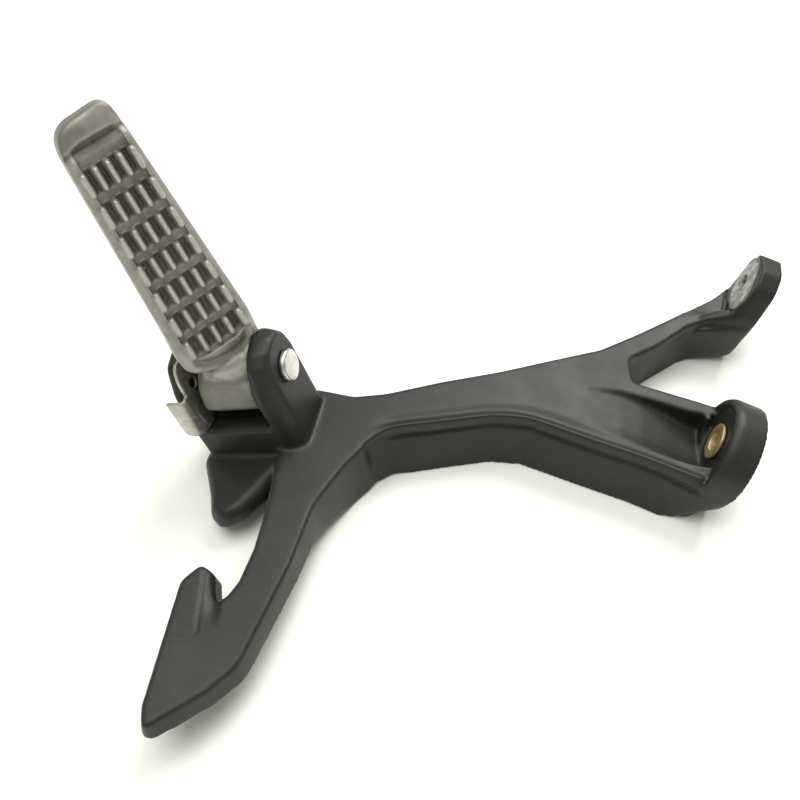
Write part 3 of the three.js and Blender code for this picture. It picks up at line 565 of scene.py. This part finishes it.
# ---------------------------------------------------------------- materials
class Nodes:
    """A new material with short ways to add shader nodes to it."""

    def __init__(self, name):
        self.material = bpy.data.materials.new(name)
        self.material.use_nodes = True
        self.tree = self.material.node_tree
        self.shader = self.tree.nodes["Principled BSDF"]
        self.where = self.add("ShaderNodeTexCoord").outputs["Object"]

    def add(self, kind, **values):
        node = self.tree.nodes.new(kind)
        for key, value in values.items():
            setattr(node, key, value)
        return node

    def link(self, a, b):
        self.tree.links.new(a, b)

    def drive(self, name, source):
        """Links a source to one of the shader's inputs."""
        self.link(source, self.shader.inputs[name])

    def noise(self, scale, detail=4.0, roughness=0.55, distortion=0.0):
        node = self.add("ShaderNodeTexNoise")
        node.inputs["Scale"].default_value = scale
        node.inputs["Detail"].default_value = detail
        node.inputs["Roughness"].default_value = roughness
        node.inputs["Distortion"].default_value = distortion
        self.link(self.where, node.inputs["Vector"])
        return node.outputs["Fac"]

    def spread(self, source, low, high, to_low=0.0, to_high=1.0):
        node = self.add("ShaderNodeMapRange")
        node.inputs["From Min"].default_value = low
        node.inputs["From Max"].default_value = high
        node.inputs["To Min"].default_value = to_low
        node.inputs["To Max"].default_value = to_high
        self.link(source, node.inputs["Value"])
        return node.outputs["Result"]

    def times(self, a, b):
        node = self.add("ShaderNodeMath", operation="MULTIPLY")
        self.link(a, node.inputs[0])
        self.link(b, node.inputs[1])
        return node.outputs[0]

    def height(self, origin, direction, low, high, to_low=0.0, to_high=1.0):
        """Share that changes between two distances, in millimetres, from origin along direction."""
        node = self.add("ShaderNodeVectorMath", operation="DOT_PRODUCT")
        node.inputs[1].default_value = tuple(direction)
        self.link(self.where, node.inputs[0])
        base = origin.dot(direction)
        return self.spread(node.outputs["Value"], base + low * MM, base + high * MM, to_low, to_high)

    def mix(self, share, a, b):
        node = self.add("ShaderNodeMix", data_type="RGBA")
        self.link(share, node.inputs["Factor"])
        for socket, value in ((node.inputs[6], a), (node.inputs[7], b)):
            if isinstance(value, tuple):
                socket.default_value = (*value, 1.0)
            else:
                self.link(value, socket)
        return node.outputs[2]

    def bump(self, height, distance, strength=1.0, after=None):
        node = self.add("ShaderNodeBump")
        node.inputs["Distance"].default_value = distance
        node.inputs["Strength"].default_value = strength
        self.link(height, node.inputs["Height"])
        if after is not None:
            self.link(after, node.inputs["Normal"])
        return node.outputs["Normal"]

    def edges(self, low, high):
        """Share from how convex the surface is, for edges lighter with wear and painted highlight."""
        geometry = self.add("ShaderNodeNewGeometry")
        return self.spread(geometry.outputs["Pointiness"], low, high)


PAINT_DARK = (0.011, 0.0115, 0.0105)
PAINT_LIGHT = (0.017, 0.0175, 0.0155)
PAINT_SPECK = (0.036, 0.036, 0.033)
SEAT_METAL_DARK = (0.10, 0.10, 0.095)
SEAT_METAL_LIGHT = (0.34, 0.34, 0.32)
BARE_CENTRE = (0.5, 6.5, 14.0)  # in the upper foot's frame


def bare_seat(n):
    """Ragged disc of bare metal left by the bolt's flange on the upper seat."""
    away = n.add("ShaderNodeVectorMath", operation="DISTANCE")
    away.inputs[1].default_value = tuple(UPPER_FOOT @ (Vector(BARE_CENTRE) * MM))
    n.link(n.where, away.inputs[0])
    ragged = n.add("ShaderNodeMath", operation="MULTIPLY_ADD")
    n.link(n.noise(420, 5, 0.7), ragged.inputs[0])
    ragged.inputs[1].default_value = 9 * MM
    n.link(away.outputs["Value"], ragged.inputs[2])
    disc = n.spread(ragged.outputs[0], 17.5 * MM, 18.6 * MM, 1.0, 0.0)
    return n.times(disc, n.height(UPPER_FOOT.translation, FOOT_AXIS, 13.0, 14.0, 1.0, 0.0))


def black_paint():
    n = Nodes("satin_black_paint")
    colour = n.mix(n.spread(n.noise(28, 3), 0.35, 0.65), PAINT_DARK, PAINT_LIGHT)
    colour = n.mix(n.spread(n.noise(900, 2), 0.45, 0.7, 0, 0.3), colour, PAINT_SPECK)
    metal = n.mix(n.spread(n.noise(260, 5, 0.7, 1.0), 0.42, 0.56), SEAT_METAL_DARK, SEAT_METAL_LIGHT)
    n.drive("Base Color", n.mix(bare_seat(n), colour, metal))
    n.drive("Roughness", n.spread(n.noise(60, 4), 0.3, 0.7, 0.42, 0.52))
    n.shader.inputs["Specular IOR Level"].default_value = 0.36
    fine = n.bump(n.noise(1400, 3), 0.00005, 0.5)
    n.drive("Normal", n.bump(n.noise(220, 3), 0.0001, 0.25, fine))
    return n.material


DULL_DARK, DULL_LIGHT = (0.24, 0.235, 0.20), (0.36, 0.355, 0.31)
# tread floor tones between the ribs: dirt and painted shade
FLOOR_DIRT_AND_SHADE_DARK, FLOOR_DIRT_AND_SHADE_LIGHT = (0.12, 0.105, 0.085), (0.22, 0.20, 0.16)
# deepest grooves between the ribs: painted shade with dirt
DEEP_SHADE_AND_DIRT = (0.075, 0.066, 0.052)
TONGUE_DARK, TONGUE_LIGHT = (0.17, 0.165, 0.14), (0.24, 0.235, 0.20)
# lighter edges and rib crests: wear and painted highlight
EDGE_WEAR_AND_HIGHLIGHT = (0.52, 0.515, 0.46)
CREST_WEAR_AND_HIGHLIGHT = (0.56, 0.55, 0.50)


def bare_casting():
    """Dull cast aluminium: its floor between the ribs darker with dirt and painted shade, darkest in the
    grooves, and its edges and rib crests lighter with wear and painted highlight.
    """
    n = Nodes("bare_cast_aluminium")
    origin = TREAD.translation
    # the floor between the ribs, below the crests, darkened: dirt and painted shade
    floor = n.times(n.height(origin, TREAD_OUT, 6.8, 8.9, 1.0, 0.0), n.height(origin, TREAD_ALONG, 16, 19))
    floor = n.times(floor, n.height(origin, TREAD_OUT, 5.0, 6.2))
    # the deepest grooves darkest: painted shade with dirt
    deep = n.height(origin, TREAD_OUT, 5.9, 7.2, 1.0, 0.0)
    # rib crests lighter: wear and painted highlight
    crest = n.height(origin, TREAD_OUT, 9.0, 10.0, 0, 0.7)
    tongue = n.height(origin, TREAD_ALONG, 8, 13, 1.0, 0.0)
    grime = n.spread(n.noise(140, 5), 0.35, 0.7)
    floor_dirt_and_shade = n.mix(deep, n.mix(grime, FLOOR_DIRT_AND_SHADE_DARK, FLOOR_DIRT_AND_SHADE_LIGHT), DEEP_SHADE_AND_DIRT)
    colour = n.mix(floor, n.mix(grime, DULL_DARK, DULL_LIGHT), floor_dirt_and_shade)
    # convex edges lighter: wear and painted highlight
    colour = n.mix(n.edges(0.50, 0.57), colour, EDGE_WEAR_AND_HIGHLIGHT)
    colour = n.mix(crest, colour, CREST_WEAR_AND_HIGHLIGHT)
    n.drive("Base Color", n.mix(tongue, colour, n.mix(grime, TONGUE_DARK, TONGUE_LIGHT)))
    n.drive("Metallic", n.times(n.spread(floor, 0, 1, 0.65, 0.25), n.spread(tongue, 0, 1, 1.0, 0.35)))
    n.drive("Roughness", n.spread(n.noise(300, 4), 0.3, 0.7, 0.44, 0.62))
    n.drive("Normal", n.bump(n.noise(900, 3), 0.00008, 0.5))
    return n.material


def steel(name, dark, light, roughness, metallic=1.0):
    n = Nodes(name)
    n.drive("Base Color", n.mix(n.spread(n.noise(400, 4), 0.35, 0.7), dark, light))
    n.shader.inputs["Metallic"].default_value = metallic
    n.drive("Roughness", n.spread(n.noise(680, 3), 0.3, 0.7, roughness - 0.06, roughness + 0.08))
    n.drive("Normal", n.bump(n.noise(1200, 3), 0.00003, 0.5))
    return n.material


def table_material():
    n = Nodes("pale_table")
    n.drive("Base Color", n.mix(n.spread(n.noise(6, 3), 0.3, 0.7), (0.92, 0.92, 0.85), (0.94, 0.94, 0.88)))
    n.shader.inputs["Roughness"].default_value = 0.6
    return n.material


def paint_with(obj, material):
    obj.data.materials.clear()
    obj.data.materials.append(material)


# ---------------------------------------------------------------- stage, in metres
TABLE_HALF = 3.0
TABLE_DROP = 0.0002  # below the object's lowest points
ROOM_COLOUR = (1.0, 1.0, 0.96, 1)
ROOM_STRENGTH = 0.42
# name, place, diameter, watts, colour
LIGHTS = (("window", (0.35, 1.0, 1.25), 1.0, 22, (1.0, 1.0, 0.97)),
          ("ceiling", (-0.35, -0.1, 1.6), 1.5, 20, (1.0, 1.0, 0.98)))
CAMERA_LENS = 35.1  # mm on a 36 mm wide sensor
CAMERA_PLACE = (0.01243, -0.20315, 0.3002)
CAMERA_TURN = (40, 0, 10.893)  # degrees


def make_stage():
    corners = [(x * TABLE_HALF, y * TABLE_HALF, 0) for x, y in ((-1, -1), (1, -1), (1, 1), (-1, 1))]
    table = new_object("table", corners, [(0, 1, 2, 3)])
    table.location.z = -TABLE_DROP
    paint_with(table, table_material())


def area_light(name, place, size, power, colour):
    """A round lamp that faces the middle of the scene."""
    data = bpy.data.lights.new(name, "AREA")
    data.shape = "DISK"
    data.size = size
    data.energy = power
    data.color = colour
    light = bpy.data.objects.new(name, data)
    light.location = place
    light.rotation_euler = (-Vector(place)).to_track_quat("-Z", "Y").to_euler()
    bpy.context.scene.collection.objects.link(light)


def make_lights():
    for light in LIGHTS:
        area_light(*light)
    world = bpy.data.worlds.new("room")
    world.use_nodes = True
    background = world.node_tree.nodes["Background"]
    background.inputs[0].default_value = ROOM_COLOUR
    background.inputs[1].default_value = ROOM_STRENGTH
    bpy.context.scene.world = world


def make_camera():
    data = bpy.data.cameras.new("camera")
    data.lens = CAMERA_LENS
    data.sensor_width = 36
    data.clip_start = 0.01
    camera = bpy.data.objects.new("camera", data)
    camera.location = CAMERA_PLACE
    camera.rotation_euler = [math.radians(angle) for angle in CAMERA_TURN]
    bpy.context.scene.collection.objects.link(camera)
    bpy.context.scene.camera = camera


make_camera()
make_lights()
make_stage()
bpy.context.scene.view_settings.view_transform = "Standard"

bright = steel("bright_steel", (0.55, 0.54, 0.50), (0.74, 0.73, 0.69), 0.32)
dull = steel("dull_zinc_steel", (0.42, 0.41, 0.36), (0.60, 0.59, 0.54), 0.45)
spring = steel("dark_spring_steel", (0.16, 0.16, 0.15), (0.26, 0.26, 0.25), 0.38)
zinc = steel("yellow_zinc", (0.42, 0.30, 0.12), (0.70, 0.60, 0.36), 0.45, 0.8)
paint_with(make_bracket(), black_paint())
paint_with(make_footrest(), bare_casting())
paint_with(make_detent_plate(), dull)
paint_with(make_hinge_pin(), bright)
paint_with(rounded_piece("pin_washer", 0.25), bright)
paint_with(rounded_piece("retaining_clip", 0.2), spring)
paint_with(rounded_piece("lower_mount_collar", 0.3), zinc)
# these two keep the frame's own shapes
paint_with(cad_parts["detent_ball"], bright)
paint_with(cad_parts["detent_spring"], spring)
